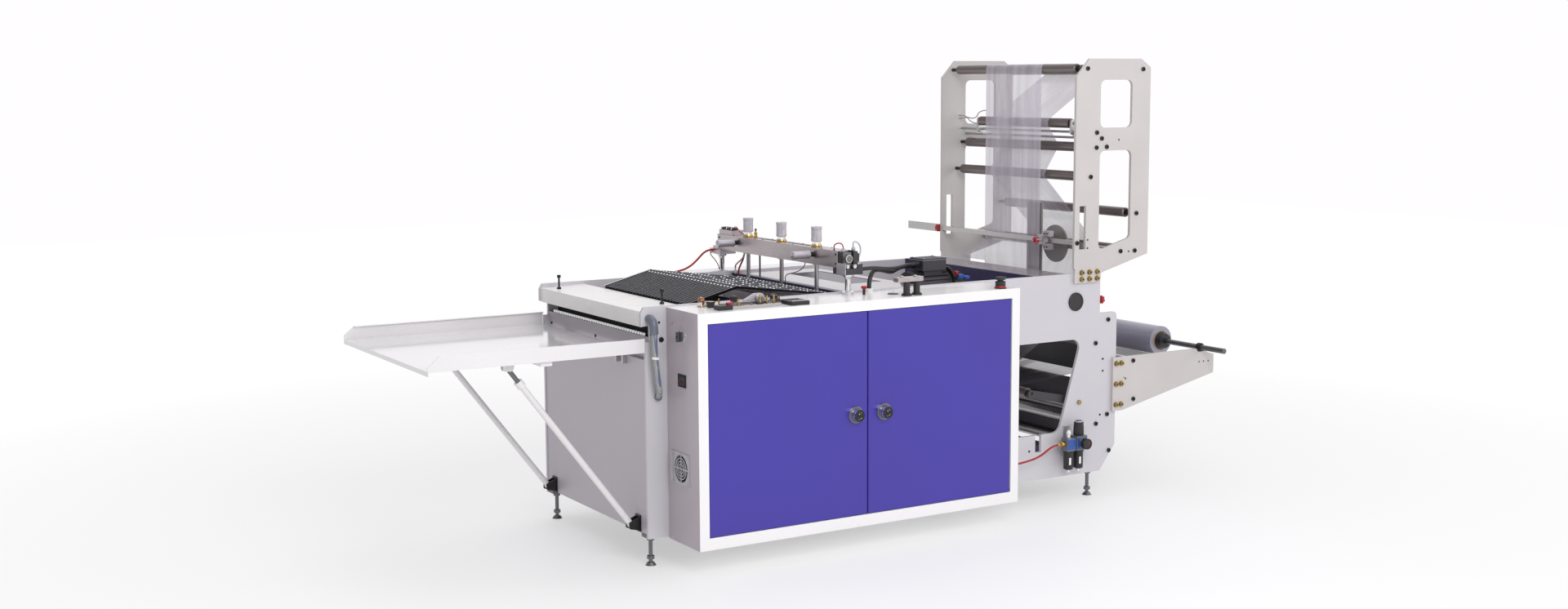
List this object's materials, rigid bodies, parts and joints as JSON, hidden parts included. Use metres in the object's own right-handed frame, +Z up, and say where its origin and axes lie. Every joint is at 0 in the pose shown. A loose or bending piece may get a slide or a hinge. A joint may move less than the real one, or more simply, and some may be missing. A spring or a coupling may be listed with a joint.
{
  "type": "film bag making machine",
  "caption": "Floor-standing plastic film bag maker: film roll and web tower, press sealing head, ribbed outfeed, folding delivery tray and door cabinet.",
  "frame": {"origin": "on the floor, at the centre of the machine's outer box", "axes": "+X from the delivery tray to the film roll, +Y away from the door side, +Z up"},
  "size_m": [3.38, 1.356, 1.731],
  "materials": {
    "cream_paint": "semi-gloss powder coat",
    "grey_paint": "semi-gloss powder coat",
    "dark_paint": "satin dark purple paint",
    "violet_paint": "semi-gloss violet-blue paint",
    "white_gloss": "glossy white enamel",
    "bright_steel": "turned steel",
    "anodised": "satin grey-brown anodised",
    "beam_aluminium": "brushed",
    "cast_grey": "cast grey",
    "zinc": "yellow zinc plate",
    "black_oxide": "black oxide",
    "chrome": "polished chrome",
    "black_plastic": "satin black plastic",
    "dark_rubber": "dark grey-green belt",
    "black_rubber": "black cable jacket",
    "red_hose": "red air hose",
    "grey_conduit": "clear grey conduit",
    "film": "pale violet film",
    "blue_body": "dark grey plastic"
  },
  "bodies": {
    "frame": {"side_plate_front": "cream_paint", "side_plate_rear": "cream_paint", "cross_members": "dark_paint", "tie_bars": "bright_steel", "end_panel": "cream_paint", "outfeed_hood": "white_gloss", "deck_plates": "white_gloss", "cabinet_shell": "cream_paint", "rear_cover": "cream_paint", "deck_fittings": "black_plastic", "fan_guard": "black_plastic", "signal_conduit": "grey_conduit", "levelling_feet": "bright_steel", "tower_plate_front": "grey_paint", "tower_plate_rear": "grey_paint", "zinc_bolts": "zinc", "black_screws": "black_oxide", "unwind_arm_front": "grey_paint", "unwind_arm_rear": "grey_paint", "web_guide_plate": "dark_paint", "motor": "cast_grey", "air_unit": "blue_body", "air_supply_hose": "red_hose", "strut_brackets": "bright_steel", "web_film": "film", "head_cable": "black_rubber", "deck_cable": "black_rubber", "head_air_hose": "red_hose", "ruler_bar": "bright_steel", "outfeed_belts": "dark_rubber"},
    "door_left": {"door_left": "violet_paint"},
    "door_right": {"door_right": "violet_paint"},
    "door_knob_left": {"door_knob_left": "chrome"},
    "door_knob_right": {"door_knob_right": "chrome"},
    "tray": {"tray": "white_gloss"},
    "strut_tubes": {"strut_tubes": "bright_steel"},
    "strut_rods": {"strut_rods": "chrome"},
    "sealing_head": {"sealing_beam": "beam_aluminium", "guide_columns": "chrome", "press_cylinders": "cast_grey"},
    "sealing_jaw": {"sealing_jaw": "bright_steel"},
    "unwind_reel": {"unwind_shaft": "bright_steel", "film_roll": "film"},
    "fan_rotor": {"fan_rotor": "black_plastic"},
    "power_rocker": {"power_rocker": "black_plastic"},
    "end_selector": {"end_selector": "chrome"},
    "stop_button": {"stop_button": "black_plastic"},
    "speed_dial": {"speed_dial": "black_plastic"},
    "regulator_knob": {"regulator_knob": "black_plastic"},
    "edge_sensor": {"edge_sensor": "black_plastic"},
    "top_idler_left": {"top_idler_left": "anodised"},
    "top_idler_right": {"top_idler_right": "anodised"},
    "centre_idler": {"centre_idler": "anodised"},
    "tower_idler_upper": {"tower_idler_upper": "anodised"},
    "tower_idler_middle": {"tower_idler_middle": "anodised"},
    "tower_idler_lower": {"tower_idler_lower": "anodised"},
    "tower_idler_base": {"tower_idler_base": "anodised"},
    "base_idler": {"base_idler": "anodised"},
    "dancer_arm": {"dancer_arm": "cast_grey"},
    "dancer_roller": {"dancer_roller": "anodised"}
  },
  "joints": [
    {"name": "door_left_hinge", "type": "hinge", "parent": "frame", "child": "door_left", "pos_m": [-0.799, -0.641, 0.5], "axis": [0, 0, -1], "range_deg": [0, 90]},
    {"name": "door_right_hinge", "type": "hinge", "parent": "frame", "child": "door_right", "pos_m": [0.456, -0.641, 0.5], "axis": [0, 0, 1], "range_deg": [0, 90]},
    {"name": "door_left_latch", "type": "hinge", "parent": "door_left", "child": "door_knob_left", "pos_m": [-0.224, -0.65, 0.497], "axis": [0, -1, 0], "range_deg": [0, 90]},
    {"name": "door_right_latch", "type": "hinge", "parent": "door_right", "child": "door_knob_right", "pos_m": [-0.105, -0.65, 0.497], "axis": [0, 1, 0], "range_deg": [0, 90]},
    {"name": "tray_tilt", "type": "hinge", "parent": "frame", "child": "tray", "pos_m": [-0.931, 0, 0.735], "axis": [0, -1, 0], "range_deg": [0, 6]},
    {"name": "strut_swing", "type": "hinge", "parent": "frame", "child": "strut_tubes", "pos_m": [-0.95, 0, 0.14], "axis": [0, -1, 0], "range_deg": [0, 2.3]},
    {"name": "strut_slide", "type": "slide", "parent": "strut_tubes", "child": "strut_rods", "axis": [-0.6035, 0, 0.7974], "range_m": [-0.041, 0]},
    {"name": "head_slide", "type": "slide", "parent": "frame", "child": "sealing_head", "axis": [0, 0, 1], "range_m": [-0.024, 0]},
    {"name": "jaw_slide", "type": "slide", "parent": "sealing_head", "child": "sealing_jaw", "axis": [0, 0, 1], "range_m": [0, 0.012]},
    {"name": "fan_spin", "type": "hinge", "parent": "frame", "child": "fan_rotor", "pos_m": [-0.844, -0.527, 0.356], "axis": [1, 0, 0], "continuous": true},
    {"name": "power_rocker_tilt", "type": "hinge", "parent": "frame", "child": "power_rocker", "pos_m": [-0.842, -0.538, 0.658], "axis": [0, 1, 0], "range_deg": [0, 12]},
    {"name": "end_selector_turn", "type": "hinge", "parent": "frame", "child": "end_selector", "pos_m": [-0.844, -0.541, 0.808], "axis": [1, 0, 0], "range_deg": [-45, 45]},
    {"name": "stop_button_press", "type": "slide", "parent": "frame", "child": "stop_button", "axis": [0, 0, -1], "range_m": [0, 0.004], "stiffness_N_per_m": 800, "springref_m": -0.002},
    {"name": "speed_dial_turn", "type": "hinge", "parent": "frame", "child": "speed_dial", "pos_m": [-0.462, -0.5, 0.91], "axis": [0, 0, 1], "range_deg": [-135, 135]},
    {"name": "regulator_turn", "type": "hinge", "parent": "frame", "child": "regulator_knob", "pos_m": [0.942, -0.472, 0.3], "axis": [0, 0, 1], "range_deg": [-180, 180]},
    {"name": "edge_sensor_slide", "type": "slide", "parent": "frame", "child": "edge_sensor", "axis": [0, 1, 0], "range_m": [-0.1, 0.35]},
    {"name": "top_idler_left_spin", "type": "hinge", "parent": "frame", "child": "top_idler_left", "pos_m": [0.987, 0, 1.693], "axis": [0, 1, 0], "continuous": true},
    {"name": "top_idler_right_spin", "type": "hinge", "parent": "frame", "child": "top_idler_right", "pos_m": [1.271, 0, 1.69], "axis": [0, 1, 0], "continuous": true},
    {"name": "centre_idler_spin", "type": "hinge", "parent": "frame", "child": "centre_idler", "pos_m": [1.022, 0, 1.48], "axis": [0, 1, 0], "continuous": true},
    {"name": "tower_idler_upper_spin", "type": "hinge", "parent": "frame", "child": "tower_idler_upper", "pos_m": [1.037, 0, 1.388], "axis": [0, 1, 0], "continuous": true},
    {"name": "tower_idler_middle_spin", "type": "hinge", "parent": "frame", "child": "tower_idler_middle", "pos_m": [1.01, 0, 1.275], "axis": [0, 1, 0], "continuous": true},
    {"name": "tower_idler_lower_spin", "type": "hinge", "parent": "frame", "child": "tower_idler_lower", "pos_m": [1.249, 0, 1.124], "axis": [0, 1, 0], "continuous": true},
    {"name": "tower_idler_base_spin", "type": "hinge", "parent": "frame", "child": "tower_idler_base", "pos_m": [1.244, 0, 0.976], "axis": [0, 1, 0], "continuous": true},
    {"name": "base_idler_spin", "type": "hinge", "parent": "frame", "child": "base_idler", "pos_m": [1.123, 0, 0.707], "axis": [0, 1, 0], "continuous": true},
    {"name": "dancer_swing", "type": "hinge", "parent": "frame", "child": "dancer_arm", "pos_m": [0.979, 0, 0.388], "axis": [0, 1, 0], "range_deg": [-8, 8], "deforming": ["web_film"]},
    {"name": "dancer_spin", "type": "hinge", "parent": "dancer_arm", "child": "dancer_roller", "pos_m": [0.76, 0, 0.44], "axis": [0, 1, 0], "continuous": true},
    {"name": "unwind_spin", "type": "hinge", "parent": "frame", "child": "unwind_reel", "pos_m": [1.617, 0, 0.556], "axis": [0, 1, 0], "continuous": true}
  ],
  "couplings": [
    {"joint": "strut_swing", "follows": "tray_tilt", "ratio": 0.36029},
    {"joint": "strut_slide", "follows": "tray_tilt", "m_per_rad": -0.38293},
    {"joint": "top_idler_left_spin", "follows": "unwind_spin", "ratio": -3.1579},
    {"joint": "top_idler_right_spin", "follows": "unwind_spin", "ratio": -3.1579},
    {"joint": "centre_idler_spin", "follows": "unwind_spin", "ratio": 3.1579},
    {"joint": "tower_idler_upper_spin", "follows": "unwind_spin", "ratio": -3.1579},
    {"joint": "tower_idler_middle_spin", "follows": "unwind_spin", "ratio": 3.1579},
    {"joint": "tower_idler_base_spin", "follows": "unwind_spin", "ratio": -3.1579},
    {"joint": "base_idler_spin", "follows": "unwind_spin", "ratio": -3.1579},
    {"joint": "dancer_spin", "follows": "unwind_spin", "ratio": 3.1579}
  ]
}
